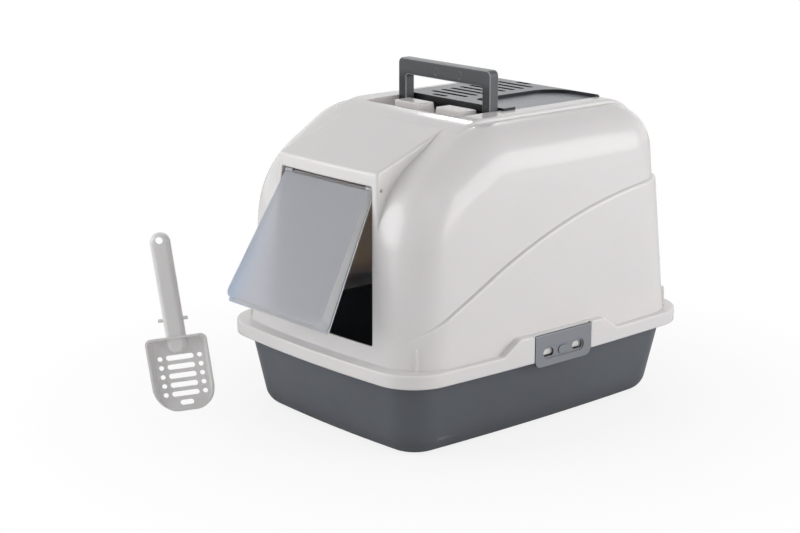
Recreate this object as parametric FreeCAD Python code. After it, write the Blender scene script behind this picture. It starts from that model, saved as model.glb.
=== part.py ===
"""Hooded litter box: tray, lift-off hood, swinging flap, folding handle, vent lid, filter, latches and scoop.

Millimetres, +Z up. The origin is on the floor under the middle of the tray, and the door faces -Y.
"""
import FreeCAD
import Part
import math
import os

V = FreeCAD.Vector
X_AXIS = V(1, 0, 0)
Y_AXIS = V(0, 1, 0)
Z_AXIS = V(0, 0, 1)
ORIGIN = V(0, 0, 0)

# Moulded walls and the room left between separate pieces
wall = 2.5
slide_gap = 0.5
pivot_gap = 0.1

# Rim, where the hood sits on the tray
rim_width = 377.0
rim_length = 500.0
rim_corner_radius = 56.0
rim_underside = 96.0
rim_height = 16.5
rim_edge_radius = 1.8
side_bow = 9.0
end_bow = 11.0
bow_margin = 1.2

# Tray
tray_top_inset = 17.0
tray_draft = 9.5
tray_corner_radius = 44.0
tray_floor_radius = 25.0
tray_lip_drop = 9.5

# Hood body
hood_rise = 267.5
spine_step = 5.0
spine_width = 232.0
spine_edge_radius = 4.0
ledge_end_width = 13.0
ledge_side_width = 10.0
front_lean = 4.0
rear_lean = 6.0
side_draft = 1.6
front_shoulder_radius = 117.0
crown_setback = 131.0
crown_slope = 31.0
crown_blend_radius = 90.0
rear_top_radius = 60.0
side_shoulder_radius = 52.0

# Raised skirt round the lower hood, whose upper edge sweeps up towards the back
skirt_step = 4.5
skirt_edge_radius = 3.5
skirt_fade = 0.4
skirt_bend_setback = 23.5
skirt_bend_rise = 40.0
skirt_bend_radius = 60.0
skirt_nose_slope = 42.0
skirt_slope = 28.0
skirt_rear_rise = 175.5
skirt_rear_radius = 690.0

# Dormer over the door
brow_width = 184.0
brow_rise = 222.5
brow_radius = 5.0
dormer_edge_radius = 3.0
roof_setback = 152.5
roof_blend_radius = 60.0

# Door opening and its flap
sill_rise = 19.5
door_height = 187.0
door_top_width = 170.0
door_sill_width = 198.0
door_corner_radius = 3.0
flap_hinge_drop = 4.5
flap_hinge_depth = 9.0
flap_side_gap = 2.0
flap_sill_gap = 6.0
flap_thickness = 1.8
flap_border = 1.5
flap_bevel = 3.0
flap_raise = 4.0
flap_panel_tilt = 2.6
flap_panel_radius = 10.0
flap_corner_radius = 3.0
flap_barrel_radius = 3.6
flap_barrel_length = 14.0
flap_shown_angle = 28.0
pin_radius = 2.0
pin_recess = 0.8
pivot_boss_radius = 5.0

# Top well with the vent lid, the filter and the handle's recess
well_floor_drop = 17.5
lid_rear_inset = 74.5
lid_width = 182.0
lid_length = 170.0
lid_proud = 3.0
lid_skirt = 8.0
lid_pivot_radius = 2.0
lid_pivot_length = 2.2
lid_tail_radius = 6.0
filter_width = 150.0
filter_length = 130.0
filter_thickness = 8.0
floor_slot_count = 7
floor_slot_length = 110.0
floor_slot_width = 7.0
vent_slot_count = 10
vent_slot_length = 66.0
vent_slot_width = 7.5
vent_slot_pitch = 16.5
vent_slot_margin = 23.0
vent_end_share = 0.4
scallop_depth = 4.5
scallop_left = 16.0
scallop_front_margin = 20.0
scallop_length = 143.0
scallop_front_radius = 12.0
scallop_rear_radius = 40.0

# Carrying handle
handle_width = 168.0
handle_height = 58.75
handle_depth = 14.5
handle_leg = 14.5
handle_bar = 20.5
handle_corner_radius = 7.0
handle_pivot_radius = 3.5
handle_pivot_length = 3.5
handle_gap = 2.0
handle_edge_radius = 2.0
finger_block_width = 52.0
finger_block_length = 22.0
finger_notch_top = 30.0
finger_notch_floor = 22.0

# Side latches and the humps of the rim that hold them
hump_length = 196.0
hump_rise = 17.0
hump_ramp = 25.0
hump_ramp_radius = 14.0
latch_width = 96.0
latch_height = 40.0
latch_thickness = 3.0
latch_corner_radius = 9.0
latch_top_gap = 1.1
latch_side_gap = 1.0
latch_axis_inset = 2.7
latch_barrel_radius = 1.5
latch_pin_radius = 1.2
latch_bead_length = 60.0
latch_bead_height = 5.5
pocket_wall_rise = 5.0
latch_panel_length = 71.0
latch_panel_height = 14.5
latch_panel_depth = 1.2
latch_panel_rise = 16.2
latch_slot_length = 17.5
latch_slot_height = 10.5
latch_mark_length = 16.5
latch_mark_height = 10.0

# Corner ribs on the ledge
rib_width = 3.0
rib_height = 26.0
rib_reach = 2.5
rib_bearing = 45.0

# Scoop, which stands in front of the box
scoop_blade_width = 78.0
scoop_blade_length = 102.0
scoop_wall = 2.0
scoop_side_height = 14.0
scoop_flare = 5.5
scoop_tip_start = 6.0
scoop_tip_end = 34.0
scoop_tip_radius = 28.0
scoop_corner_radius = 8.0
scoop_handle_width = 25.0
scoop_length = 233.0
scoop_handle_depth = 11.0
scoop_handle_end_radius = 12.0
scoop_handle_edge_radius = 6.5
scoop_handle_overlap = 25.0
scoop_slot_count = 5
scoop_slot_length = 35.0
scoop_slot_width = 7.2
scoop_slot_pitch = 12.0
scoop_first_slot = 11.0
scoop_tip_share = 0.5
scoop_hole_spread = 25.0
scoop_hole_radius = 3.25
scoop_hang_radius = 4.5
scoop_hang_drop = 8.0
scoop_pin_radius = 2.2
scoop_pin_length = 6.0
scoop_pin_rise = 20.0
scoop_place_x = -172.0
scoop_place_y = -304.0
scoop_turn = 51.0
scoop_tilt = 7.5

# Values that follow from the ones above
half_width = rim_width / 2
half_length = rim_length / 2
side_bow_radius = half_length ** 2 / (2 * side_bow)
end_bow_radius = half_width ** 2 / (2 * end_bow)
ledge_top = rim_underside + rim_height
ledge_underside = ledge_top - wall
body_top = ledge_top + hood_rise
spine_top = body_top + spine_step
body_half_width = half_width - ledge_side_width - skirt_step
body_half_length = half_length - ledge_end_width - skirt_step
well_floor = spine_top - well_floor_drop
far = rim_length
end_bow_angle = 2 * math.degrees(math.asin(half_width * bow_margin / (end_bow_radius - far)))
side_bow_angle = 2 * math.degrees(math.asin(half_length * bow_margin / (side_bow_radius - far)))
sill_z = ledge_top + sill_rise
door_top_z = sill_z + door_height
door_flare = (door_sill_width - door_top_width) / 2 / door_height
brow_z = ledge_top + brow_rise
flap_axis_z = door_top_z - flap_hinge_drop
hump_top = ledge_top + hump_rise
lid_top = spine_top + lid_proud
lid_rear_y = body_half_length - lid_rear_inset
lid_front_y = lid_rear_y - lid_length
lid_axis_y = lid_rear_y - lid_tail_radius
lid_axis_z = lid_top - lid_tail_radius
lid_shelf_z = lid_top - lid_skirt
handle_axis_y = lid_front_y - handle_gap - handle_depth / 2
handle_axis_z = well_floor + handle_depth / 2 + slide_gap
recess_half_width = handle_width / 2 + slide_gap * 2
recess_front_y = handle_axis_y - handle_height - slide_gap * 2
well_half_width = lid_width / 2 + slide_gap
latch_axis_x = half_width - latch_axis_inset
latch_axis_z = hump_top - latch_top_gap - latch_barrel_radius
latch_bottom_z = hump_top - latch_top_gap - latch_height
latch_inner_x = half_width - latch_thickness
pocket_back_x = latch_axis_x - latch_barrel_radius - slide_gap
pocket_half_length = latch_width / 2 + latch_side_gap
tray_lip_inset = half_width - pocket_back_x + wall + slide_gap
tray_lip_low = ledge_underside - tray_lip_drop


def slope(angle):
    """Rise of one unit along a line at an angle in degrees."""
    return math.tan(math.radians(angle))


def corner_arc(before, point, after, radius):
    """Start, middle and end of the arc that rounds the corner at a point."""
    back = (before - point).normalize()
    ahead = (after - point).normalize()
    half_angle = back.getAngle(ahead) / 2
    reach = radius / math.tan(half_angle)
    depth = radius / math.sin(half_angle) - radius
    inward = (back + ahead).normalize()
    return point + back * reach, point + inward * depth, point + ahead * reach


def rounded_face(points, radii):
    """Flat face whose outline goes through the points, each corner rounded by its radius."""
    count = len(points)
    corners = []
    for index, radius in enumerate(radii):
        point = points[index]
        if radius > 0:
            corners.append(corner_arc(points[index - 1], point, points[(index + 1) % count], radius))
        else:
            corners.append((point, point, point))
    edges = []
    for index, (start, middle, end) in enumerate(corners):
        if radii[index] > 0:
            edges.append(Part.Arc(start, middle, end).toShape())
        following = corners[(index + 1) % count][0]
        if (following - end).Length > 1e-6:
            edges.append(Part.makeLine(end, following))
    return Part.Face(Part.Wire(edges))


def grown(points, offset, normal):
    """Polygon with every side moved outwards; the points run anticlockwise about the normal."""
    moved = []
    for index, point in enumerate(points):
        before = (point - points[index - 1]).normalize().cross(normal)
        after = (points[(index + 1) % len(points)] - point).normalize().cross(normal)
        moved.append(point + (before + after) * (offset / (1 + before.dot(after))))
    return moved


def bow_centres(half_x, half_y):
    """Centres of the bowed right side and of the bowed rear end, in plan."""
    return V(half_x - side_bow_radius, 0, 0), V(0, half_y - end_bow_radius, 0)


def corner_centre(half_x, half_y, radius):
    """Centre of the arc that rounds the corner between the bowed right side and the bowed rear end."""
    side_centre, end_centre = bow_centres(half_x, half_y)
    to_side = side_bow_radius - radius
    to_end = end_bow_radius - radius
    between = end_centre - side_centre
    along = (to_side ** 2 - to_end ** 2 + between.Length ** 2) / (2 * between.Length)
    across = math.sqrt(to_side ** 2 - along ** 2)
    unit = V(between).normalize()
    return side_centre + unit * along + V(-unit.y, unit.x, 0) * across


def plan_wire(half_x, half_y, radius, z):
    """Closed outline in plan with softly bowed sides and round corners."""
    side_centre, end_centre = bow_centres(half_x, half_y)
    centre = corner_centre(half_x, half_y, radius)
    toward_side = (centre - side_centre).normalize()
    toward_end = (centre - end_centre).normalize()
    side_point = centre + toward_side * radius
    middle_point = centre + (toward_side + toward_end).normalize() * radius
    end_point = centre + toward_end * radius
    edges = []
    for sx, sy in ((1, 1), (-1, 1), (-1, -1), (1, -1)):
        places = [V(p.x * sx, p.y * sy, z) for p in (side_point, middle_point, end_point)]
        if sx * sy < 0:
            places.reverse()
        edges.append(Part.Arc(*places).toShape())
        last = places[-1]
        if sx * sy > 0:
            edges.append(Part.Arc(last, V(0, half_y * sy, z), V(-last.x, last.y, z)).toShape())
        else:
            edges.append(Part.Arc(last, V(half_x * sx, 0, z), V(last.x, -last.y, z)).toShape())
    return Part.Wire(edges)


def rim_prism(inset, low, high):
    """Upright block with the rim's outline, drawn in by an inset."""
    outline = plan_wire(half_width - inset, half_length - inset, rim_corner_radius - inset, low)
    return Part.Face(outline).extrude(V(0, 0, high - low))


def bowed_block(face, axis_point, angle):
    """Face swept about a distant upright axis, half the angle to each side."""
    face = face.copy()
    face.rotate(axis_point, Z_AXIS, -angle / 2)
    return face.revolve(axis_point, Z_AXIS, angle)


def front_line(z):
    """Y of the hood's front wall at a height, on the middle line."""
    return -body_half_length + (z - ledge_top) * slope(front_lean)


def rear_line(z):
    """Y of the hood's rear wall at a height, on the middle line."""
    return body_half_length - (z - ledge_top) * slope(rear_lean)


def side_line(z):
    """X of the hood's side wall at a height, at the middle of its length."""
    return body_half_width - (z - ledge_top) * slope(side_draft)


def profile_block(top, offset, front_offset):
    """Side profile of the hood with bowed front and rear, up to a top height, grown by one offset for each end."""
    crown_y = -body_half_length + crown_setback + (top - body_top) / slope(crown_slope)
    lean = slope(front_lean)
    rise = slope(crown_slope)
    knee_z = (top + rise * (-body_half_length - ledge_top * lean - crown_y)) / (1 - rise * lean)
    front_points = [
        V(0, front_line(rim_underside), rim_underside),
        V(0, far, rim_underside),
        V(0, far, top),
        V(0, crown_y, top),
        V(0, front_line(knee_z), knee_z),
    ]
    front_radii = [0, 0, 0, crown_blend_radius + front_offset, front_shoulder_radius + front_offset]
    front_face = rounded_face(grown(front_points, front_offset, X_AXIS), front_radii)
    front = bowed_block(front_face, V(0, end_bow_radius - body_half_length, 0), end_bow_angle)
    rear_points = [
        V(0, -far, rim_underside),
        V(0, rear_line(rim_underside), rim_underside),
        V(0, rear_line(top), top),
        V(0, -far, top),
    ]
    rear_radii = [0, 0, rear_top_radius + offset, 0]
    rear_face = rounded_face(grown(rear_points, offset, X_AXIS), rear_radii)
    rear = bowed_block(rear_face, V(0, body_half_length - end_bow_radius, 0), end_bow_angle)
    return front.common(rear)


def side_block(offset):
    """Block between the two drafted, bowed side walls of the hood."""
    high = body_top + far / 4
    points = [
        V(-far, 0, rim_underside),
        V(side_line(rim_underside), 0, rim_underside),
        V(side_line(high), 0, high),
        V(-far, 0, high),
    ]
    face = rounded_face(grown(points, offset, -Y_AXIS), [0] * len(points))
    right = bowed_block(face, V(body_half_width - side_bow_radius, 0, 0), side_bow_angle)
    return right.common(right.mirror(ORIGIN, X_AXIS))


def body_form(offset, front_offset):
    """Hood body with its round shoulders, grown by an offset, with one of its own for the front."""
    block = profile_block(body_top, offset, front_offset).common(side_block(offset)).removeSplitter()
    sides = sorted(block.Faces, key=lambda face: abs(face.CenterOfMass.x))[-2:]
    edges = []
    for face in sides:
        edges += [edge for edge in face.Edges if edge.BoundBox.ZMax > rim_underside + wall]
    return block.makeFillet(side_shoulder_radius + offset, edges)


def skirt_prism(offset):
    """Everything below the sweeping upper edge of the skirt, moved up by an offset."""
    high = ledge_top + skirt_rear_rise + offset
    bend = ledge_top + skirt_bend_rise + offset
    bend_y = skirt_bend_setback - body_half_length
    turn_y = bend_y + (high - bend) / slope(skirt_slope)
    nose_y = bend_y - (bend - rim_underside) / slope(skirt_nose_slope)
    points = [
        V(-far, nose_y, rim_underside),
        V(-far, far, rim_underside),
        V(-far, far, high),
        V(-far, turn_y, high),
        V(-far, bend_y, bend),
    ]
    radii = [0, 0, 0, skirt_rear_radius, skirt_bend_radius]
    return rounded_face(points, radii).extrude(V(2 * far, 0, 0))


def skirt_form(offset):
    """Raised lower part of the hood, grown by an offset; its step runs out at the front corners."""
    return body_form(skirt_step + offset, offset - skirt_fade).common(skirt_prism(offset))


def rounded_skirt():
    """Skirt with its upper edge rounded over."""
    skirt = skirt_form(0)
    edges = []
    for face in skirt.Faces:
        normal = face.normalAt(*face.Surface.parameter(face.CenterOfMass))
        if normal.z > slope(skirt_slope):
            edges += [edge for edge in face.Edges if not isinstance(edge.Curve, Part.Line)]
    return skirt.makeFillet(skirt_edge_radius, edges)


def dormer_form(offset):
    """Raised house over the door with its sloping roof, grown by an offset."""
    points = [
        V(0, front_line(rim_underside), rim_underside),
        V(0, 0, rim_underside),
        V(0, 0, spine_top),
        V(0, roof_setback - body_half_length, spine_top),
        V(0, front_line(brow_z), brow_z),
    ]
    radii = [0, 0, 0, roof_blend_radius + offset, brow_radius + offset]
    face = rounded_face(grown(points, offset, X_AXIS), radii)
    block = bowed_block(face, V(0, end_bow_radius - body_half_length, 0), end_bow_angle)
    low_half = dormer_half_width(rim_underside)
    high_half = dormer_half_width(spine_top)
    side_points = [
        V(-low_half, -far, rim_underside),
        V(low_half, -far, rim_underside),
        V(high_half, -far, spine_top),
        V(-high_half, -far, spine_top),
    ]
    sides = rounded_face(grown(side_points, offset, -Y_AXIS), [0] * len(side_points))
    return block.common(sides.extrude(V(0, 2 * far, 0)))


def dormer_half_width(z):
    """Half width of the dormer at a height; its sides flare like those of the door."""
    return brow_width / 2 + (brow_z - z) * door_flare


def rounded_sides(block, radius):
    """Block with the long edges of its two side faces rounded, apart from those at its foot and back."""
    sides = sorted(block.Faces, key=lambda face: abs(face.CenterOfMass.x))[-2:]
    back = block.BoundBox.YMax - wall
    edges = []
    for face in sides:
        for edge in face.Edges:
            if edge.BoundBox.ZMax > rim_underside + wall and edge.BoundBox.YMin < back:
                edges.append(edge)
    return block.makeFillet(radius, edges)


def spine_form(offset):
    """Flat raised band along the top of the hood, grown by an offset."""
    sunk = slide_gap
    half = spine_width / 2 + offset
    slab = Part.makeBox(2 * half, 2 * far, 2 * far, V(-half, -far, 0))
    return profile_block(spine_top + sunk, offset - sunk, offset - sunk).common(slab)


def hump_form(inset):
    """Raised stretch of the right rim that frames the latch, drawn in by an inset."""
    foot = hump_length / 2 - inset
    crest = foot - hump_ramp
    reach = foot + hump_ramp * 2
    ledge = ledge_top - inset
    top = hump_top - inset
    start_x = body_half_width - 2 * wall
    points = [
        V(start_x, -reach, rim_underside),
        V(start_x, reach, rim_underside),
        V(start_x, reach, ledge),
        V(start_x, foot, ledge),
        V(start_x, crest, top),
        V(start_x, -crest, top),
        V(start_x, -foot, ledge),
        V(start_x, -reach, ledge),
    ]
    radii = [0, 0, 0] + [hump_ramp_radius] * 4 + [0]
    block = rounded_face(points, radii).extrude(V(half_width, 0, 0))
    return block.common(rim_prism(inset, rim_underside, hump_top))


def rounded_rim():
    """Rim with the two latch humps, its upper outer edge rounded over."""
    rim = rim_prism(0, rim_underside, ledge_top).fuse(both_sides(hump_form(0))).removeSplitter()
    edges = []
    for face in rim.Faces:
        box = face.BoundBox
        if box.ZMin < rim_underside + wall and box.ZLength > wall:
            edges += [edge for edge in face.Edges if edge.BoundBox.ZMin > rim_underside + wall]
    return rim.makeFillet(rim_edge_radius, edges)


def both_sides(shape):
    """A shape and its mirror image across the middle plane."""
    return [shape, shape.mirror(ORIGIN, X_AXIS)]


def box_between(low, high):
    """Box from its lowest to its highest corner."""
    size = high - low
    return Part.makeBox(size.x, size.y, size.z, low)


def latch_pocket():
    """Back and side walls of the pocket that the right latch lies in."""
    half = pocket_half_length + wall
    low = V(pocket_back_x - wall, -half, rim_underside + pocket_wall_rise)
    high = V(half_width, half, hump_top)
    return box_between(low, high).common(rim_prism(0, rim_underside, hump_top))


def latch_clearance():
    """Space cut out of the right rim for the latch and its two pivot pins."""
    half = pocket_half_length
    low = V(pocket_back_x, -half, 0)
    high = V(half_width + far, half, hump_top + wall)
    pin_length = 2 * (half + wall)
    pin_start = V(latch_axis_x, -half - wall, latch_axis_z)
    pins = Part.makeCylinder(latch_pin_radius + pivot_gap, pin_length, pin_start, Y_AXIS)
    return box_between(low, high).fuse(pins)


def corner_rib(half_y):
    """Small upright rib between ledge and skirt at the right rear corner of a skirt of this half length."""
    skirt_radius = side_shoulder_radius + skirt_step
    lean = wall / 2
    foot = skirt_radius - lean
    depth = lean + rib_reach
    low = ledge_top - lean
    high = ledge_top + rib_height
    points = [V(foot, 0, low), V(foot + depth, 0, low), V(foot + depth - lean, 0, high), V(foot - lean, 0, high)]
    rib = rounded_face(points, [0, 0, rib_reach, 0]).extrude(V(0, rib_width, 0))
    rib.translate(V(0, -rib_width / 2, 0))
    rib.rotate(ORIGIN, Z_AXIS, rib_bearing)
    rib.translate(corner_centre(body_half_width + skirt_step, half_y, skirt_radius))
    return rib


def corner_ribs():
    """The ribs at all four corners."""
    rear_ribs = both_sides(corner_rib(body_half_length + skirt_step))
    front_ribs = both_sides(corner_rib(body_half_length - skirt_fade))
    return rear_ribs + [rib.mirror(ORIGIN, Y_AXIS) for rib in front_ribs]


def door_cut():
    """Opening of the door through the front wall."""
    depth = body_half_length / 3
    start_y = -half_length
    sill_half = door_sill_width / 2
    top_half = door_top_width / 2
    points = [
        V(-sill_half, start_y, sill_z),
        V(sill_half, start_y, sill_z),
        V(top_half, start_y, door_top_z),
        V(-top_half, start_y, door_top_z),
    ]
    return rounded_face(points, [door_corner_radius] * 4).extrude(V(0, depth, 0))


def flap_axis_y():
    """Y of the flap's hinge axis, behind the front wall."""
    return front_line(flap_axis_z) + flap_hinge_depth


def flap_top_half():
    """Half width of the flap at its hinge."""
    return door_top_width / 2 - flap_side_gap


def pivot_boss():
    """Boss inside the right wall of the dormer that carries the flap's pin."""
    start = V(flap_top_half() + 2 * slide_gap, flap_axis_y(), flap_axis_z)
    length = dormer_half_width(flap_axis_z) - wall / 2 - start.x
    return Part.makeCylinder(pivot_boss_radius, length, start, X_AXIS)


def pin_bore():
    """Bore for the flap's pins through both walls of the dormer."""
    start = V(-brow_width, flap_axis_y(), flap_axis_z)
    return Part.makeCylinder(pin_radius + pivot_gap / 2, 2 * brow_width, start, X_AXIS)


def well_blocks():
    """Walls and floor round the lid's well and the handle's recess, before they are hollowed."""
    low_z = well_floor - wall
    well_half = well_half_width + wall
    well = box_between(V(-well_half, lid_front_y, low_z), V(well_half, lid_rear_y + slide_gap + wall, spine_top))
    recess_half = recess_half_width + handle_pivot_length + wall
    recess = box_between(V(-recess_half, recess_front_y - wall, low_z), V(recess_half, lid_front_y, spine_top))
    return well.fuse(recess)


def well_cuts():
    """Hollow of the lid's well and the handle's recess, with the pivot sockets and the floor slots."""
    high_z = spine_top + far
    well = box_between(V(-well_half_width, lid_front_y, well_floor), V(well_half_width, lid_rear_y + slide_gap, high_z))
    recess = box_between(V(-recess_half_width, recess_front_y, well_floor), V(recess_half_width, lid_front_y, high_z))
    socket_half = handle_width / 2 + handle_pivot_length + slide_gap
    socket_start = V(-socket_half, handle_axis_y, handle_axis_z)
    sockets = Part.makeCylinder(handle_pivot_radius + pivot_gap, 2 * socket_half, socket_start, X_AXIS)
    lid_half = well_half_width + wall
    lid_bores = Part.makeCylinder(
        lid_pivot_radius + pivot_gap, 2 * lid_half, V(-lid_half, lid_axis_y, lid_axis_z), X_AXIS)
    return [well, recess, sockets, lid_bores] + floor_slots()


def slot_shape(length, width, low_z, high_z, centre_x, centre_y):
    """Upright round-ended slot whose length runs along X."""
    half = length / 2
    points = [
        V(centre_x - half, centre_y - width / 2, low_z),
        V(centre_x + half, centre_y - width / 2, low_z),
        V(centre_x + half, centre_y + width / 2, low_z),
        V(centre_x - half, centre_y + width / 2, low_z),
    ]
    return rounded_face(points, [width / 2] * 4).extrude(V(0, 0, high_z - low_z))


def filter_centre_y():
    """Y of the middle of the filter in its well."""
    return (lid_front_y + lid_axis_y) / 2


def floor_slots():
    """Air slots through the floor of the well, under the filter."""
    pitch = filter_length / floor_slot_count
    slots = []
    for index in range(floor_slot_count):
        y = filter_centre_y() + (index - (floor_slot_count - 1) / 2) * pitch
        slots.append(slot_shape(
            floor_slot_length, floor_slot_width, well_floor - 2 * wall, well_floor + wall, 0, y))
    return slots


def lid_shelf():
    """Narrow shelf on the right wall of the well that the closed lid rests on."""
    low = V(well_half_width - 2 * wall, lid_front_y, lid_shelf_z - wall)
    high = V(well_half_width + wall / 2, lid_axis_y - 2 * lid_tail_radius, lid_shelf_z)
    return box_between(low, high)


def finger_block():
    """Right one of the two blocks inside the folded handle, with the slanted side of the finger notch."""
    rear_y = handle_axis_y - handle_depth / 2 - wall
    front_y = rear_y - finger_block_length
    outer = finger_block_width + finger_notch_floor / 2
    points = [
        V(finger_notch_floor / 2, front_y, well_floor - wall / 2),
        V(outer, front_y, well_floor - wall / 2),
        V(outer, front_y, spine_top),
        V(finger_notch_top / 2, front_y, spine_top),
    ]
    return rounded_face(points, [0, 0, wall, 0]).extrude(V(0, rear_y - front_y, 0))


def hood():
    """Hood in one moulding, open below, with door, rim, latch humps and top well."""
    outer = body_form(0, 0).fuse([
        rounded_skirt(),
        rounded_sides(dormer_form(0), dormer_edge_radius),
        rounded_sides(spine_form(0), spine_edge_radius),
        rounded_rim(),
    ])
    inner = body_form(-wall, -wall).fuse([
        skirt_form(-wall),
        dormer_form(-wall),
        spine_form(-wall),
        rim_prism(wall, rim_underside, ledge_underside),
    ] + both_sides(hump_form(wall)))
    shell = outer.cut(inner)
    shell = shell.fuse([well_blocks().common(outer)] + both_sides(latch_pocket()) + both_sides(pivot_boss()))
    shell = shell.fuse(corner_ribs())
    shell = shell.cut(well_cuts() + both_sides(latch_clearance()) + [door_cut(), pin_bore()])
    shell = shell.fuse(both_sides(lid_shelf()) + both_sides(finger_block()))
    return shell.removeSplitter()


def tray_wire(inset, z):
    """Outline of the tray's drafted wall at a height, drawn in by an inset."""
    drawn_in = tray_top_inset + (rim_underside - z) * slope(tray_draft) + inset
    return plan_wire(half_width - drawn_in, half_length - drawn_in, tray_corner_radius - inset, z)


def tray_block(inset, low, high):
    """Solid of the tray's drafted wall with its rounded floor edge."""
    block = Part.makeLoft([tray_wire(inset, low), tray_wire(inset, high)], True, True)
    edges = [edge for edge in block.Edges if edge.BoundBox.ZMax < low + wall]
    return block.makeFillet(tray_floor_radius - inset, edges)


def litter_tray():
    """Open tray with an outward flange and a downturned lip that the hood sits on."""
    top = ledge_underside
    flange = rim_prism(tray_lip_inset, top - wall, top)
    lip = rim_prism(tray_lip_inset, tray_lip_low, top).cut(rim_prism(tray_lip_inset + wall, tray_lip_low, top))
    shell = tray_block(0, 0, top).fuse([flange, lip])
    return shell.cut(tray_block(wall, wall, top + wall)).removeSplitter()


def flap_outline(border, depth_y, low_radius):
    """Trapezium of the hanging flap with round lower corners, drawn in by a border, on a plane of constant Y."""
    length = flap_axis_z - sill_z - flap_sill_gap
    top_half = flap_top_half()
    bottom_half = top_half + length * door_flare
    points = [
        V(-bottom_half, depth_y, flap_axis_z - length),
        V(bottom_half, depth_y, flap_axis_z - length),
        V(top_half, depth_y, flap_axis_z),
        V(-top_half, depth_y, flap_axis_z),
    ]
    return rounded_face(grown(points, -border, -Y_AXIS), [low_radius, low_radius, flap_thickness, flap_thickness])


def flap_panel(inset, front_y, rear_y):
    """Raised panel of the flap: a block that narrows from its rear to its front and deepens downwards."""
    low_radius = flap_panel_radius - inset
    rear_outline = flap_outline(flap_border + inset, rear_y, low_radius).OuterWire
    front_outline = flap_outline(flap_border + flap_bevel + inset, front_y, low_radius).OuterWire
    front_outline.rotate(V(0, front_y, flap_axis_z), X_AXIS, -flap_panel_tilt)
    return Part.makeLoft([rear_outline, front_outline], True, True)


def door_flap():
    """Thin dished flap, hung on two barrels and shown swung outwards."""
    axis_y = flap_axis_y()
    front_y = axis_y - flap_thickness / 2
    rear_y = axis_y + flap_thickness / 2
    sheet = flap_outline(0, front_y, flap_corner_radius).extrude(V(0, flap_thickness, 0))
    sheet = sheet.fuse(flap_panel(0, front_y - flap_raise, front_y))
    sheet = sheet.cut(flap_panel(flap_thickness, rear_y - flap_raise, rear_y))
    start = V(flap_top_half() - flap_barrel_length, axis_y, flap_axis_z)
    barrel = Part.makeCylinder(flap_barrel_radius, flap_barrel_length, start, X_AXIS)
    flap = sheet.fuse(both_sides(barrel)).cut(flap_bore()).removeSplitter()
    flap.rotate(V(0, axis_y, flap_axis_z), X_AXIS, -flap_shown_angle)
    return flap


def flap_bore():
    """Bore of the flap's barrels, a running fit on the pins."""
    start = V(flap_top_half() - flap_barrel_length, flap_axis_y(), flap_axis_z)
    bore = Part.makeCylinder(pin_radius + pivot_gap, flap_barrel_length + flap_side_gap, start, X_AXIS)
    return bore.fuse(bore.mirror(ORIGIN, X_AXIS))


def flap_pin():
    """Right hinge pin, pushed in from outside through the dormer's wall into the flap."""
    start_x = flap_top_half() - flap_barrel_length + slide_gap
    end_x = dormer_half_width(flap_axis_z) - pin_recess
    pin = Part.makeCylinder(pin_radius, end_x - start_x, V(start_x, flap_axis_y(), flap_axis_z), X_AXIS)
    return pin.makeChamfer(pin_radius / 4, pin.Edges[:1])


def carry_handle():
    """Folding bail handle with a rounded grip and two pivot stubs."""
    half = handle_width / 2
    inner_half = half - handle_leg
    top_z = handle_axis_z + handle_height
    front_y = handle_axis_y - handle_depth / 2
    gap_low = handle_axis_z - handle_depth
    gap_top = top_z - handle_bar
    outer = [
        V(-half, front_y, handle_axis_z),
        V(half, front_y, handle_axis_z),
        V(half, front_y, top_z),
        V(-half, front_y, top_z),
    ]
    inner = [
        V(-inner_half, front_y, gap_low),
        V(inner_half, front_y, gap_low),
        V(inner_half, front_y, gap_top),
        V(-inner_half, front_y, gap_top),
    ]
    thickness = V(0, handle_depth, 0)
    bail = rounded_face(outer, [0, 0, handle_corner_radius, handle_corner_radius]).extrude(thickness)
    feet = Part.makeCylinder(handle_depth / 2, handle_width, V(-half, handle_axis_y, handle_axis_z), X_AXIS)
    inner_radius = handle_corner_radius / 2
    opening = rounded_face(inner, [0, 0, inner_radius, inner_radius]).extrude(thickness)
    bail = bail.fuse(feet).removeSplitter().cut(opening)
    stub_length = handle_width + 2 * handle_pivot_length
    stub_start = V(-stub_length / 2, handle_axis_y, handle_axis_z)
    stubs = Part.makeCylinder(handle_pivot_radius, stub_length, stub_start, X_AXIS).cut(opening)
    return softened(bail, handle_edge_radius, handle_axis_z + handle_depth).fuse(stubs).removeSplitter()


def softened(shape, radius, above):
    """Shape with the front and rear outline edges above a height rounded over."""
    front = shape.BoundBox.YMin
    rear = shape.BoundBox.YMax
    edges = []
    for edge in shape.Edges:
        box = edge.BoundBox
        flat = box.YLength < radius / 10 and min(abs(box.YMin - front), abs(box.YMax - rear)) < radius / 10
        if flat and box.ZMax > above:
            edges.append(edge)
    return shape.makeFillet(radius, edges)


def scallop_face(inset, z):
    """Outline of the hollow that opens at the right edge of the lid, drawn in by an inset."""
    right = lid_width / 2 + 2 * wall
    front_y = lid_front_y + scallop_front_margin
    rear_y = front_y + scallop_length
    points = [
        V(scallop_left, front_y, z),
        V(right, front_y, z),
        V(right, rear_y, z),
        V(scallop_left, rear_y, z),
    ]
    radii = [scallop_front_radius - inset, 0, 0, scallop_rear_radius - inset]
    return rounded_face(grown(points, -inset, Z_AXIS), radii)


def vent_slots():
    """Rows of air slots through the left half of the lid, shorter at both ends."""
    centre_x = -lid_width / 2 + vent_slot_margin + vent_slot_length / 2
    middle_y = (lid_front_y + lid_rear_y) / 2
    slots = []
    for index in range(vent_slot_count):
        row = index - (vent_slot_count - 1) / 2
        last = abs(row) > (vent_slot_count - 2) / 2
        length = vent_slot_length * (vent_end_share if last else 1)
        slots.append(slot_shape(
            length, vent_slot_width, lid_shelf_z, lid_top + wall, centre_x, middle_y + row * vent_slot_pitch))
    return slots


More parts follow.
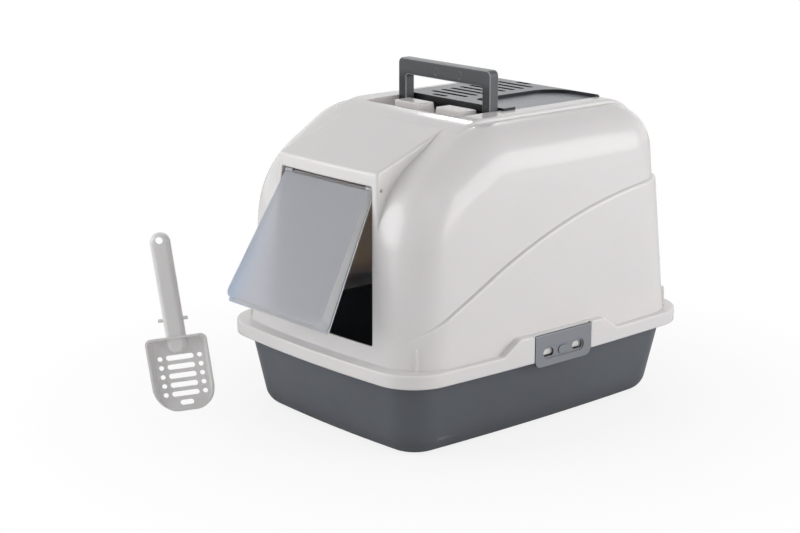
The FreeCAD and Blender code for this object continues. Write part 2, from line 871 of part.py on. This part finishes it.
def vent_lid():
    """Shallow lid over the filter, with a rounded tail, hinge stubs, slots and a scalloped grip hollow."""
    half = lid_width / 2
    points = [
        V(-half, lid_front_y, lid_shelf_z),
        V(-half, lid_axis_y, lid_shelf_z),
        V(-half, lid_axis_y, lid_top),
        V(-half, lid_front_y, lid_top),
    ]
    plate = rounded_face(points, [0] * 4).extrude(V(lid_width, 0, 0))
    tail = Part.makeCylinder(lid_tail_radius, lid_width, V(-half, lid_axis_y, lid_axis_z), X_AXIS)
    tail_cut = box_between(V(-half, 0, 0), V(half, far, lid_shelf_z))
    block = plate.fuse(tail.cut(tail_cut)).removeSplitter()
    hollow = box_between(
        V(wall - half, lid_front_y + wall, 0), V(half - wall, lid_axis_y, lid_top - wall))
    dish = scallop_face(-wall, lid_top - wall - scallop_depth).extrude(V(0, 0, scallop_depth + wall))
    lid = block.cut(hollow).fuse(dish.common(block))
    lid = lid.cut([scallop_face(0, lid_top - scallop_depth).extrude(V(0, 0, 2 * scallop_depth))] + vent_slots())
    stub_length = lid_pivot_length + slide_gap
    stub = Part.makeCylinder(lid_pivot_radius, stub_length, V(half, lid_axis_y, lid_axis_z), X_AXIS)
    return lid.fuse(both_sides(stub)).removeSplitter()


def carbon_filter():
    """Filter pad that lies on the slotted floor of the well."""
    half = filter_width / 2
    low_y = filter_centre_y() - filter_length / 2
    block = box_between(
        V(-half, low_y, well_floor), V(half, low_y + filter_length, well_floor + filter_thickness))
    upright = [edge for edge in block.Edges if edge.BoundBox.ZLength > filter_thickness / 2]
    return block.makeFillet(filter_thickness, upright)


def latch_slot(length, height, depth, centre_y, centre_z):
    """Round-ended cutter through the latch from its outer face, along X."""
    half = length / 2
    start_x = half_width - depth
    points = [
        V(start_x, centre_y - half, centre_z - height / 2),
        V(start_x, centre_y + half, centre_z - height / 2),
        V(start_x, centre_y + half, centre_z + height / 2),
        V(start_x, centre_y - half, centre_z + height / 2),
    ]
    return rounded_face(points, [height / 2] * 4).extrude(V(depth, 0, 0))


def right_latch():
    """Latch plate on a barrel, with a sunk panel, two slots, a raised oval and a snap bead."""
    half = latch_width / 2
    points = [
        V(latch_inner_x, -half, latch_bottom_z),
        V(latch_inner_x, half, latch_bottom_z),
        V(latch_inner_x, half, latch_axis_z),
        V(latch_inner_x, -half, latch_axis_z),
    ]
    radius = latch_corner_radius
    plate = rounded_face(points, [radius, radius, 0, 0]).extrude(V(latch_thickness, 0, 0))
    panel_z = latch_bottom_z + latch_panel_rise
    panel = latch_slot(latch_panel_length, latch_panel_height, latch_panel_depth, 0, panel_z)
    mark = latch_slot(latch_mark_length, latch_mark_height, latch_panel_depth, 0, panel_z)
    slot_y = (latch_panel_length - latch_slot_length - latch_panel_height + latch_slot_height) / 2
    slots = []
    for side in (-1, 1):
        slots.append(latch_slot(latch_slot_length, latch_slot_height, latch_thickness, side * slot_y, panel_z))
    plate = plate.cut([panel.cut(mark)] + slots)
    barrel = Part.makeCylinder(latch_barrel_radius, latch_width, V(latch_axis_x, -half, latch_axis_z), Y_AXIS)
    shoulder = Part.makeCylinder(latch_axis_inset, latch_width, V(latch_axis_x, -half, latch_axis_z), Y_AXIS)
    shoulder = shoulder.common(box_between(
        V(latch_axis_x, -half, latch_axis_z), V(half_width, half, latch_axis_z + latch_barrel_radius)))
    pin_length = latch_width + 2 * (latch_side_gap + wall - slide_gap)
    pins = Part.makeCylinder(
        latch_pin_radius, pin_length, V(latch_axis_x, -pin_length / 2, latch_axis_z), Y_AXIS)
    return plate.fuse([barrel, shoulder, pins, latch_bead()]).removeSplitter()


def latch_bead():
    """Snap bead on the latch's inner face, just below the tray's lip."""
    half = latch_bead_length / 2
    high = tray_lip_low - slide_gap
    reach_x = half_width - tray_lip_inset + slide_gap
    points = [
        V(latch_inner_x + wall / 2, -half, high - latch_bead_height),
        V(latch_inner_x + wall / 2, -half, high),
        V(reach_x, -half, high),
        V(reach_x, -half, high - latch_bead_height / 2),
    ]
    return rounded_face(points, [0, 0, 0, 0]).extrude(V(0, latch_bead_length, 0))


def scoop_tub(inset):
    """Block that widens from the blade's floor to the upper edge of its walls, drawn in by an inset."""
    half = scoop_blade_width / 2
    floor_half = half - scoop_flare
    top = scoop_blade_length
    floor_top = top - scoop_flare
    rim_y = -scoop_side_height - inset
    floor_points = [
        V(-floor_half, -inset, 0),
        V(floor_half, -inset, 0),
        V(floor_half, -inset, floor_top),
        V(-floor_half, -inset, floor_top),
    ]
    rim_points = [V(-half, rim_y, 0), V(half, rim_y, 0), V(half, rim_y, top), V(-half, rim_y, top)]
    floor_tip = scoop_tip_radius - scoop_flare
    outlines = []
    for points, tip_radius in ((floor_points, floor_tip), (rim_points, scoop_tip_radius)):
        radii = [tip_radius, tip_radius, scoop_corner_radius, scoop_corner_radius]
        face = rounded_face(grown(points, -inset, -Y_AXIS), [radius - inset for radius in radii])
        outlines.append(face.OuterWire)
    return Part.makeLoft(outlines, True, True)


def scoop_blade():
    """Scoop's blade with flared walls that run down to its tip, its face towards -Y and its tip down."""
    rise = (scoop_tip_end - scoop_tip_start) / (scoop_side_height - scoop_wall)
    tip_cut = rounded_face([
        V(-far, -scoop_wall, -scoop_wall),
        V(-far, -far, -scoop_wall),
        V(-far, -far, scoop_tip_start + (far - scoop_wall) * rise),
        V(-far, -scoop_wall, scoop_tip_start),
    ], [0] * 4).extrude(V(2 * far, 0, 0))
    return scoop_tub(0).cut([scoop_tub(scoop_wall), tip_cut])


def scoop_cuts():
    """Slots and holes through the scoop's blade, and the hanging hole in its handle."""
    depth = 4 * scoop_wall
    cuts = []
    for index in range(scoop_slot_count + 1):
        first = index == 0
        length = scoop_slot_length * (scoop_tip_share if first else 1)
        z = scoop_first_slot + index * scoop_slot_pitch
        cuts.append(upright_slot(length, scoop_slot_width, depth, z))
        if not first:
            for side in (-1, 1):
                start = V(side * scoop_hole_spread, -depth, z)
                cuts.append(Part.makeCylinder(scoop_hole_radius, 2 * depth, start, Y_AXIS))
    hang_z = scoop_length - scoop_hang_drop
    start = V(0, -2 * scoop_side_height, hang_z)
    cuts.append(Part.makeCylinder(scoop_hang_radius, 3 * scoop_side_height, start, Y_AXIS))
    return cuts


def upright_slot(length, width, depth, z):
    """Round-ended cutter along Y whose length runs along X."""
    points = [
        V(-length / 2, -depth, z - width / 2),
        V(length / 2, -depth, z - width / 2),
        V(length / 2, -depth, z + width / 2),
        V(-length / 2, -depth, z + width / 2),
    ]
    return rounded_face(points, [width / 2] * 4).extrude(V(0, 2 * depth, 0))


def scoop_bar(inset):
    """Scoop's round-ended handle with a rounded front, drawn in by an inset."""
    half = scoop_handle_width / 2 - inset
    low = scoop_blade_length - scoop_handle_overlap + inset
    high = scoop_length - inset
    depth = scoop_handle_depth - inset
    points = [V(-half, 0, low), V(half, 0, low), V(half, 0, high), V(-half, 0, high)]
    bar = rounded_face(points, [scoop_handle_end_radius - inset] * 4).extrude(V(0, -depth, 0))
    front = [edge for edge in bar.Edges if edge.BoundBox.YMax < scoop_wall - depth]
    return bar.makeFillet(scoop_handle_edge_radius - inset, front)


def scoop():
    """Litter scoop, standing on its tip in front of the box and turned to face outwards."""
    pin_z = scoop_blade_length + scoop_pin_rise
    pin_half = scoop_handle_width / 2 + scoop_pin_length
    pin_y = -scoop_handle_depth / 2
    pins = Part.makeCylinder(scoop_pin_radius, 2 * pin_half, V(-pin_half, pin_y, pin_z), X_AXIS)
    shape = scoop_blade().fuse([scoop_bar(0), pins])
    shape = shape.cut([scoop_bar(scoop_wall)] + scoop_cuts()).removeSplitter()
    shape.rotate(ORIGIN, Y_AXIS, -scoop_tilt)
    shape.rotate(ORIGIN, Z_AXIS, scoop_turn)
    low = shape.optimalBoundingBox().ZMin
    shape.translate(V(scoop_place_x, scoop_place_y, -low))
    return shape


def save(name, shape):
    """Write one piece as its own file."""
    print(name, len(shape.Solids), shape.isValid(), round(shape.Volume / 1000, 1), "cm3")
    shape.Solids[0].exportStep("parts/" + name + ".step")


def main():
    """Build and write every piece."""
    os.makedirs("parts", exist_ok=True)
    save("litter_tray", litter_tray())
    save("hood", hood())
    save("door_flap", door_flap())
    for side, pin in zip(("right", "left"), both_sides(flap_pin())):
        save("flap_pin_" + side, pin)
    save("carry_handle", carry_handle())
    save("vent_lid", vent_lid())
    save("carbon_filter", carbon_filter())
    for side, latch in zip(("right", "left"), both_sides(right_latch())):
        save("latch_" + side, latch)
    save("scoop", scoop())


main()
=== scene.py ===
"""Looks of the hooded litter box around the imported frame.

Finishes, filter pad, mould marks, camera, light and floor, all in metres.
"""
import math

import bmesh
import bpy
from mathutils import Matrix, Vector

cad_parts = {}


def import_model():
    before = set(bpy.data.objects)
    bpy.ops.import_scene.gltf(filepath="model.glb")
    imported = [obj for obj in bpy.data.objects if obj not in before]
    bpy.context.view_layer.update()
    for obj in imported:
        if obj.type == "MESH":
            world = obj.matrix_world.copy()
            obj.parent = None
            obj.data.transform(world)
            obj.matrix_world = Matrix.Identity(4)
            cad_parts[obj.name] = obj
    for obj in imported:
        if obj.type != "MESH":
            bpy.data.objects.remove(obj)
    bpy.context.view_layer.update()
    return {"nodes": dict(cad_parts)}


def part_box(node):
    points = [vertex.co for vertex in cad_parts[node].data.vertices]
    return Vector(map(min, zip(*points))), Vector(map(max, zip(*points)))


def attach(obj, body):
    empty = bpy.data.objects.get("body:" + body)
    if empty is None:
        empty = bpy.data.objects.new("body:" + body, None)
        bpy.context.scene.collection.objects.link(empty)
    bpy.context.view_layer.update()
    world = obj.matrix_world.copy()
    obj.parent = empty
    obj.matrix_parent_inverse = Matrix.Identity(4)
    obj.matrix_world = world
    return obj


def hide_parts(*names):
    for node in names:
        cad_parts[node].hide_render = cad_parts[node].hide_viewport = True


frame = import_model()

scene = bpy.context.scene
scene.view_settings.view_transform = "Standard"

X_AXIS = (1, 0, 0)
Y_AXIS = (0, 1, 0)
Z_AXIS = (0, 0, 1)

# Camera at the photograph's angle; lens and sensor in millimetres
CAMERA_AT = (1.6585, -1.5449, 0.7615)
CAMERA_TO = (-0.0491, -0.0563, 0.1706)
CAMERA_LENS = 82.27
SENSOR_WIDTH = 36.0

# Lamps: name, place, aim, width, height, watts
LAMPS = (
    ("key", (-1.55, -2.55, 1.05), (0.0, -0.1, 0.2), 2.8, 2.0, 51.0),
    ("side", (2.4, 1.4, 0.85), (0.0, 0.0, 0.3), 2.6, 2.0, 45.0),
    ("rim", (-1.75, 1.55, 1.8), (0.0, 0.0, 0.35), 0.8, 0.14, 8.0),
    ("fill", (1.6, -1.4, 1.9), (0.0, -0.05, 0.3), 1.6, 1.6, 5.0),
)

# Strength of the surroundings as light, and as they are seen
WORLD_FILL = 0.36
WORLD_SEEN = 1.0

# Floor: a disc just under the tray, whose share of plain white grows between two distances
FLOOR_RADIUS = 9.0
FLOOR_SEGMENTS = 96
FLOOR_DROP = 0.0006
FLOOR_GREY = (0.86, 0.86, 0.86)
FLOOR_ROUGHNESS = 0.9
FLOOR_WHITE = (0.84, 1.0)
FLOOR_FADE = (0.22, 0.6)

# Mould marks on the handle's bar: name and X, then their drop below the bar's top,
# their radius and thickness, and the steps round the ring and round its section
MARKS = (("mould_mark_left", -0.013), ("mould_mark_right", 0.030))
MARK_DROP = 0.011
MARK_RADIUS = 0.0045
MARK_THICKNESS = 0.00035
MARK_TURNS = 48
MARK_SIDES = 10

# Filter pad: cuts along each edge, corner radius in plan, sag of the top towards its edge
# and the width of that, drop of the whole top, and depth and waves of its dimples
PAD_CUTS = 30
PAD_CORNER = 0.010
PAD_SAG = 0.0016
PAD_SAG_WIDTH = 0.012
PAD_DROP = 0.0006
PAD_DIMPLE = 0.0004
PAD_WAVES = (210.0, 230.0)

# Textures: cells per metre and detail of each noise, and the part of a noise's range in use
MOTTLE = (9.0, 1.0)
SMEAR = (24.0, 2.0)
WAVE = (14.0, 1.0)
GRAIN_DETAIL = 2.0
GRAIN_ROUGHNESS = 0.6
STEEL_GRAIN = (900.0, 3.0)
FOAM_CELLS = 420.0
NOISE_RANGE = (0.3, 0.7)
EDGE_SAMPLES = 8

# Sockets of a mix node in its colour mode
MIX_FACTOR, MIX_FIRST, MIX_SECOND = 0, 6, 7
MIX_RESULT = 2

# Turn of a normal towards an axis over which a wall runs out into the face
WALL_TURN = (0.3, 0.75)

# Painted shade on the tray's foot: heights between which it goes from dark to grey, and the share
# of dark at the floor
TRAY_FOOT = (0.0, 0.035)
TRAY_FOOT_SHARE = 0.6
TRAY_FOOT_SHADE_GREY = (0.055, 0.060, 0.068)

# Handle: turn of its flat front, which gets painted shade, and of its rounded edges, which get
# painted highlights; heights between which the front's painted shade goes from dark to less dark,
# and the shares of dark there
HANDLE_FLAT = (0.9, 0.97)
HANDLE_ROUND = (0.2, 0.4)
HANDLE_SHADE_HEIGHTS = (0.408, 0.420)
HANDLE_SHADE_SHARE = (1.0, 0.52)
HANDLE_FRONT_SHADE_GREY = (0.008, 0.009, 0.010)
HANDLE_EDGE_HIGHLIGHT_GREY = (0.30, 0.31, 0.32)

# Heights between which the lid goes from the lighter grey of its hollow, a painted sheen, to that
# of its top
LID_HOLLOW = (0.3845, 0.387)
LID_HOLLOW_SHEEN_GREY = (0.165, 0.178, 0.202)
# Painted shade on the lid's walls, in its slots and along its edges
LID_WALL_SHADE_GREY = (0.016, 0.017, 0.019)

# Painted shade on the latch's walls, in its slots and along its edges
LATCH_WALL_SHADE_GREY = (0.035, 0.037, 0.040)

# Flap at rest: direction that its panel faces, turn and share of its pale border, a painted
# highlight on its dished walls, and where and how far its left edge turns bluish
FLAP_FACE = (0.0, -0.883, 0.469)
FLAP_BORDER_TURN = (0.85, 0.98)
FLAP_BORDER_SHARE = 0.9
FLAP_BORDER_HIGHLIGHT = (0.97, 0.975, 0.98)
FLAP_BLUE_X = (-0.097, -0.052)
FLAP_BLUE_Z = (0.17, 0.28)
FLAP_BLUE_SHARE = 0.7
FLAP_BLUE = (0.42, 0.60, 0.83)


def node(tree, kind, **properties):
    """New shader node with its properties set."""
    made = tree.nodes.new(kind)
    for key, value in properties.items():
        setattr(made, key, value)
    return made


def link(tree, start, end):
    """Join an output socket to an input socket."""
    tree.links.new(start, end)


def new_material(name):
    """New material, with its node tree and its main shader."""
    material = bpy.data.materials.new(name)
    material.use_nodes = True
    tree = material.node_tree
    return material, tree, tree.nodes["Principled BSDF"]


def own_place(tree):
    """Position in a piece's own space."""
    return node(tree, "ShaderNodeTexCoord").outputs["Object"]


def noise(tree, coords, scale, detail, roughness=0.5):
    """Noise texture at so many cells per metre."""
    made = node(tree, "ShaderNodeTexNoise")
    made.inputs["Scale"].default_value = scale
    made.inputs["Detail"].default_value = detail
    made.inputs["Roughness"].default_value = roughness
    link(tree, coords, made.inputs["Vector"])
    return made.outputs["Fac"]


def remap(tree, value, results, between=NOISE_RANGE):
    """Value that goes from one result to another between two limits, and stays there beyond."""
    made = node(tree, "ShaderNodeMapRange")
    made.inputs["From Min"].default_value = between[0]
    made.inputs["From Max"].default_value = between[1]
    made.inputs["To Min"].default_value = results[0]
    made.inputs["To Max"].default_value = results[1]
    link(tree, value, made.inputs["Value"])
    return made.outputs["Result"]


def tinted(tree, factor, first, second):
    """Colour between two, by a factor."""
    made = node(tree, "ShaderNodeMix", data_type="RGBA")
    made.inputs[MIX_FIRST].default_value = (*first, 1)
    made.inputs[MIX_SECOND].default_value = (*second, 1)
    link(tree, factor, made.inputs[MIX_FACTOR])
    return made.outputs[MIX_RESULT]


def bumped(tree, height, distance, normal=None):
    """Normal from a height, on top of another normal."""
    made = node(tree, "ShaderNodeBump")
    made.inputs["Strength"].default_value = 1.0
    made.inputs["Distance"].default_value = distance
    link(tree, height, made.inputs["Height"])
    if normal is not None:
        link(tree, normal, made.inputs["Normal"])
    return made.outputs["Normal"]


def combined(tree, operation, first, second=None):
    """Result of a sum on one or two values."""
    made = node(tree, "ShaderNodeMath", operation=operation)
    link(tree, first, made.inputs[0])
    if second is not None:
        link(tree, second, made.inputs[1])
    return made.outputs[0]


def measured(tree, output, axis):
    """Length of a piece's own position or normal along an axis."""
    made = node(tree, "ShaderNodeVectorMath", operation="DOT_PRODUCT")
    made.inputs[1].default_value = axis
    link(tree, node(tree, "ShaderNodeTexCoord").outputs[output], made.inputs[0])
    return made.outputs["Value"]


def turned(tree, axis):
    """One where a surface faces along an axis, either way, and nought where it runs along it."""
    return combined(tree, "ABSOLUTE", measured(tree, "Normal", axis))


def plastic(name, colour, shade, rough, grain, grain_depth, wave_depth=0.0, edge=0.0006,
            **sockets):
    """Moulded plastic: faint mottling, grain of a given size, slow waves and softened edges."""
    material, tree, shader = new_material(name)
    coords = own_place(tree)
    mottle = remap(tree, noise(tree, coords, *MOTTLE), (0.0, 1.0))
    link(tree, tinted(tree, mottle, colour, shade), shader.inputs["Base Color"])
    smear = remap(tree, noise(tree, coords, *SMEAR), rough)
    link(tree, smear, shader.inputs["Roughness"])
    soft = node(tree, "ShaderNodeBevel", samples=EDGE_SAMPLES)
    soft.inputs["Radius"].default_value = edge
    normal = soft.outputs["Normal"]
    if wave_depth:
        normal = bumped(tree, noise(tree, coords, *WAVE), wave_depth, normal)
    grains = noise(tree, coords, 1.0 / grain, GRAIN_DETAIL, GRAIN_ROUGHNESS)
    link(tree, bumped(tree, grains, grain_depth, normal), shader.inputs["Normal"])
    for socket, value in sockets.items():
        shader.inputs[socket.replace("_", " ")].default_value = value
    return material


def steel(name):
    """Drawn steel rod."""
    material, tree, shader = new_material(name)
    grain = noise(tree, own_place(tree), *STEEL_GRAIN)
    colour = tinted(tree, grain, (0.30, 0.30, 0.31), (0.44, 0.44, 0.45))
    link(tree, colour, shader.inputs["Base Color"])
    link(tree, remap(tree, grain, (0.28, 0.45)), shader.inputs["Roughness"])
    link(tree, bumped(tree, grain, 0.00002), shader.inputs["Normal"])
    shader.inputs["Metallic"].default_value = 1.0
    return material


def foam(name):
    """Open charcoal foam."""
    material, tree, shader = new_material(name)
    cells = node(tree, "ShaderNodeTexVoronoi")
    cells.inputs["Scale"].default_value = FOAM_CELLS
    link(tree, own_place(tree), cells.inputs["Vector"])
    depth = cells.outputs["Distance"]
    colour = tinted(tree, depth, (0.006, 0.006, 0.007), (0.05, 0.05, 0.053))
    link(tree, colour, shader.inputs["Base Color"])
    link(tree, bumped(tree, depth, 0.0012), shader.inputs["Normal"])
    shader.inputs["Roughness"].default_value = 0.95
    return material


def overlay(material, factor, colour):
    """Lay a second colour over a finish, by a factor."""
    tree = material.node_tree
    socket = tree.nodes["Principled BSDF"].inputs["Base Color"]
    made = node(tree, "ShaderNodeMix", data_type="RGBA")
    link(tree, factor, made.inputs[MIX_FACTOR])
    link(tree, socket.links[0].from_socket, made.inputs[MIX_FIRST])
    made.inputs[MIX_SECOND].default_value = (*colour, 1)
    link(tree, made.outputs[MIX_RESULT], socket)


def paint_wall_light_and_shade(material, axis, colour, share=1.0, between=WALL_TURN):
    """Painted shade or painted highlight, by the colour given, on the walls and edges round a
    face that looks along an axis.
    """
    tree = material.node_tree
    overlay(material, remap(tree, turned(tree, axis), (share, 0.0), between), colour)


def paint_tray_foot_shade(material):
    """Painted shade on the tray's foot, darker towards the floor."""
    tree = material.node_tree
    height = measured(tree, "Object", Z_AXIS)
    overlay(material, remap(tree, height, (TRAY_FOOT_SHARE, 0.0), TRAY_FOOT), TRAY_FOOT_SHADE_GREY)


def paint_handle_shade_and_highlight(material):
    """Painted shade on the handle's flat front, darkest low down, and painted highlights on its
    rounded edges.
    """
    tree = material.node_tree
    # Painted shade on the flat front, darkest low down
    front = remap(tree, turned(tree, Y_AXIS), (0.0, 1.0), HANDLE_FLAT)
    low = remap(tree, measured(tree, "Object", Z_AXIS), HANDLE_SHADE_SHARE, HANDLE_SHADE_HEIGHTS)
    overlay(material, combined(tree, "MULTIPLY", front, low), HANDLE_FRONT_SHADE_GREY)
    # Painted highlights on the rounded edges
    not_top = remap(tree, turned(tree, Y_AXIS), (0.0, 1.0), HANDLE_ROUND)
    highlight_rounds = combined(tree, "SUBTRACT", not_top, front)
    overlay(material, combined(tree, "MULTIPLY", highlight_rounds, highlight_rounds), HANDLE_EDGE_HIGHLIGHT_GREY)


def paint_lid_sheen_and_shade(material):
    """Painted sheen in the lid's hollow, and painted shade on its walls."""
    tree = material.node_tree
    height = measured(tree, "Object", Z_AXIS)
    # Painted sheen: lighter grey in the hollow
    overlay(material, remap(tree, height, (1.0, 0.0), LID_HOLLOW), LID_HOLLOW_SHEEN_GREY)
    # Painted shade in the slots and along the edges
    paint_wall_light_and_shade(material, Z_AXIS, LID_WALL_SHADE_GREY)


def paint_flap_tint_and_highlight(material):
    """Bluish lower left corner of the flap, and its pale border, a painted highlight."""
    tree = material.node_tree
    left = remap(tree, measured(tree, "Object", X_AXIS), (FLAP_BLUE_SHARE, 0.0), FLAP_BLUE_X)
    below = remap(tree, measured(tree, "Object", Z_AXIS), (1.0, 0.0), FLAP_BLUE_Z)
    overlay(material, combined(tree, "MULTIPLY", left, below), FLAP_BLUE)
    # Painted highlight on the dished border
    paint_wall_light_and_shade(material, FLAP_FACE, FLAP_BORDER_HIGHLIGHT, FLAP_BORDER_SHARE, FLAP_BORDER_TURN)


def dress(node_name, material):
    """Give a CAD node its finish."""
    mesh = frame["nodes"][node_name].data
    mesh.materials.clear()
    mesh.materials.append(material)


def placed(name, shape, material, smooth=True):
    """Object in the scene from a worked-out shape, in one material."""
    mesh = bpy.data.meshes.new(name)
    shape.to_mesh(mesh)
    shape.free()
    for polygon in mesh.polygons:
        polygon.use_smooth = smooth
    made = bpy.data.objects.new(name, mesh)
    scene.collection.objects.link(made)
    mesh.materials.append(material)
    return made


def filter_pad(name, like, material):
    """Foam pad with a crowned top and soft edges, in the place of its plain solid."""
    low, high = (Vector(corner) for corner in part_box(like))
    middle = (low + high) / 2
    half = (high - low) / 2
    shape = bmesh.new()
    bmesh.ops.create_cube(shape, size=2.0)
    bmesh.ops.subdivide_edges(shape, edges=shape.edges[:], cuts=PAD_CUTS, use_grid_fill=True)
    for vertex in shape.verts:
        x, y, z = vertex.co
        place = Vector((x * half.x, y * half.y, z * half.z))
        over_x = max(abs(place.x) - half.x + PAD_CORNER, 0.0)
        over_y = max(abs(place.y) - half.y + PAD_CORNER, 0.0)
        reach = math.hypot(over_x, over_y)
        if reach > PAD_CORNER:
            back = 1 - PAD_CORNER / reach
            place.x -= math.copysign(over_x * back, place.x)
            place.y -= math.copysign(over_y * back, place.y)
        if z > 0:
            inwards = max(min(half.x - abs(place.x), half.y - abs(place.y)), 0.0)
            sag = PAD_SAG * (1 - min(inwards / PAD_SAG_WIDTH, 1.0)) ** 2
            waves = math.sin(place.x * PAD_WAVES[0]) * math.sin(place.y * PAD_WAVES[1])
            place.z -= z * (sag + PAD_DROP + PAD_DIMPLE * waves)
        vertex.co = middle + place
    pad = placed(name, shape, material)
    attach(pad, "hood")
    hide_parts(like)


def ring_mark(name, place, material):
    """Round mark of the mould on the front of the handle's bar, a fine raised ring."""
    shape = bmesh.new()
    rows = []
    for turn in range(MARK_TURNS):
        angle = 2 * math.pi * turn / MARK_TURNS
        row = []
        for side in range(MARK_SIDES):
            swing = 2 * math.pi * side / MARK_SIDES
            reach = MARK_RADIUS + MARK_THICKNESS * math.cos(swing)
            out = MARK_THICKNESS * math.sin(swing)
            offset = Vector((reach * math.cos(angle), out, reach * math.sin(angle)))
            row.append(shape.verts.new(Vector(place) + offset))
        rows.append(row)
    for turn in range(MARK_TURNS):
        here, after = rows[turn], rows[(turn + 1) % MARK_TURNS]
        for side in range(MARK_SIDES):
            beside = (side + 1) % MARK_SIDES
            shape.faces.new((here[side], after[side], after[beside], here[beside]))
    bmesh.ops.recalc_face_normals(shape, faces=shape.faces[:])
    ring = placed(name, shape, material)
    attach(ring, "handle")


def aimed(name, data, place, aim):
    """Camera or lamp at a place, looking at another."""
    made = bpy.data.objects.new(name, data)
    scene.collection.objects.link(made)
    made.location = place
    made.rotation_euler = (Vector(aim) - Vector(place)).to_track_quat("-Z", "Y").to_euler()
    return made


def camera():
    """Camera of the photograph."""
    data = bpy.data.cameras.new("camera")
    data.lens = CAMERA_LENS
    data.sensor_fit = "HORIZONTAL"
    data.sensor_width = SENSOR_WIDTH
    scene.camera = aimed("camera", data, CAMERA_AT, CAMERA_TO)


def lamps():
    """Soft boxes round the object."""
    for name, place, aim, width, height, watts in LAMPS:
        data = bpy.data.lights.new(name, "AREA")
        data.shape = "RECTANGLE"
        data.size = width
        data.size_y = height
        data.energy = watts
        aimed(name, data, place, aim)


def seen_rays(tree):
    """One for camera, mirror and see-through rays, nought for the rest."""
    rays = node(tree, "ShaderNodeLightPath").outputs
    direct = combined(tree, "MAXIMUM", rays["Is Camera Ray"], rays["Is Transmission Ray"])
    return combined(tree, "MAXIMUM", direct, rays["Is Glossy Ray"])


def world():
    """White surroundings for the eye, a plain level of fill for the surfaces."""
    made = bpy.data.worlds.new("world")
    scene.world = made
    made.use_nodes = True
    tree = made.node_tree
    background = tree.nodes["Background"]
    background.inputs["Color"].default_value = (1, 1, 1, 1)
    strength = remap(tree, seen_rays(tree), (WORLD_FILL, WORLD_SEEN), (0.0, 1.0))
    link(tree, strength, background.inputs["Strength"])


def floor():
    """Pale floor that keeps the shadow near the object and runs out to white."""
    material, tree, shader = new_material("floor")
    shader.inputs["Base Color"].default_value = (*FLOOR_GREY, 1)
    shader.inputs["Roughness"].default_value = FLOOR_ROUGHNESS
    shader.inputs["Specular IOR Level"].default_value = 0.0
    white = node(tree, "ShaderNodeEmission")
    distance = node(tree, "ShaderNodeVectorMath", operation="LENGTH")
    link(tree, own_place(tree), distance.inputs[0])
    fade = remap(tree, distance.outputs["Value"], FLOOR_WHITE, FLOOR_FADE)
    seen = node(tree, "ShaderNodeLightPath").outputs["Is Camera Ray"]
    mix = node(tree, "ShaderNodeMixShader")
    link(tree, combined(tree, "MULTIPLY", seen, fade), mix.inputs[0])
    link(tree, shader.outputs[0], mix.inputs[1])
    link(tree, white.outputs[0], mix.inputs[2])
    link(tree, mix.outputs[0], tree.nodes["Material Output"].inputs["Surface"])
    shape = bmesh.new()
    bmesh.ops.create_circle(shape, cap_ends=True, segments=FLOOR_SEGMENTS, radius=FLOOR_RADIUS)
    made = placed("floor", shape, material, smooth=False)
    made.location.z = -FLOOR_DROP


hood_white = plastic(
    "hood_white", colour=(0.768, 0.742, 0.735), shade=(0.76, 0.734, 0.727), rough=(0.20, 0.23),
    grain=0.0034, grain_depth=0.000004, wave_depth=0.00001, edge=0.0028,
    Coat_Weight=0.18, Coat_Roughness=0.05, Specular_IOR_Level=0.42,
    Subsurface_Weight=0.35, Subsurface_Scale=0.006, Subsurface_Radius=(1.0, 0.78, 0.55))
tray_grey = plastic(
    "tray_grey", colour=(0.100, 0.110, 0.127), shade=(0.088, 0.097, 0.113), rough=(0.36, 0.5),
    grain=0.0008, grain_depth=0.00003, wave_depth=0.0001, edge=0.006)
# Painted shade on the tray's foot
paint_tray_foot_shade(tray_grey)
handle_grey = plastic(
    "handle_grey", colour=(0.094, 0.101, 0.109), shade=(0.084, 0.090, 0.097), rough=(0.34, 0.48),
    grain=0.0007, grain_depth=0.00003, Specular_IOR_Level=0.35)
paint_handle_shade_and_highlight(handle_grey)
lid_grey = plastic(
    "lid_grey", colour=(0.118, 0.128, 0.148), shade=(0.107, 0.117, 0.136), rough=(0.26, 0.36),
    grain=0.0008, grain_depth=0.00002, Specular_IOR_Level=0.3)
paint_lid_sheen_and_shade(lid_grey)
latch_grey = plastic(
    "latch_grey", colour=(0.235, 0.248, 0.272), shade=(0.21, 0.222, 0.244), rough=(0.36, 0.5),
    grain=0.0007, grain_depth=0.00002, edge=0.0004)
# Painted shade on the latch's walls and edges
paint_wall_light_and_shade(latch_grey, X_AXIS, LATCH_WALL_SHADE_GREY)
scoop_pale = plastic(
    "scoop_pale", colour=(0.755, 0.75, 0.75), shade=(0.73, 0.726, 0.726), rough=(0.32, 0.40),
    grain=0.0009, grain_depth=0.00001, edge=0.0005,
    Subsurface_Weight=0.1, Subsurface_Scale=0.004)
flap_frosted = plastic(
    "flap_frosted", colour=(0.585, 0.60, 0.655), shade=(0.575, 0.592, 0.65), rough=(0.30, 0.36),
    grain=0.0010, grain_depth=0.000012, wave_depth=0.00003,
    Transmission_Weight=0.64, IOR=1.40)
paint_flap_tint_and_highlight(flap_frosted)
pin_steel = steel("pin_steel")
filter_black = foam("filter_black")

dress("hood", hood_white)
dress("litter_tray", tray_grey)
dress("carry_handle", handle_grey)
dress("vent_lid", lid_grey)
dress("door_flap", flap_frosted)
dress("scoop", scoop_pale)
for side in ("right", "left"):
    dress("latch_" + side, latch_grey)
    dress("flap_pin_" + side, pin_steel)
filter_pad("filter_pad", "carbon_filter", filter_black)
handle_low, handle_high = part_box("carry_handle")
for name, mark_x in MARKS:
    ring_mark(name, (mark_x, handle_low[1], handle_high[2] - MARK_DROP), handle_grey)

camera()
lamps()
world()
floor()
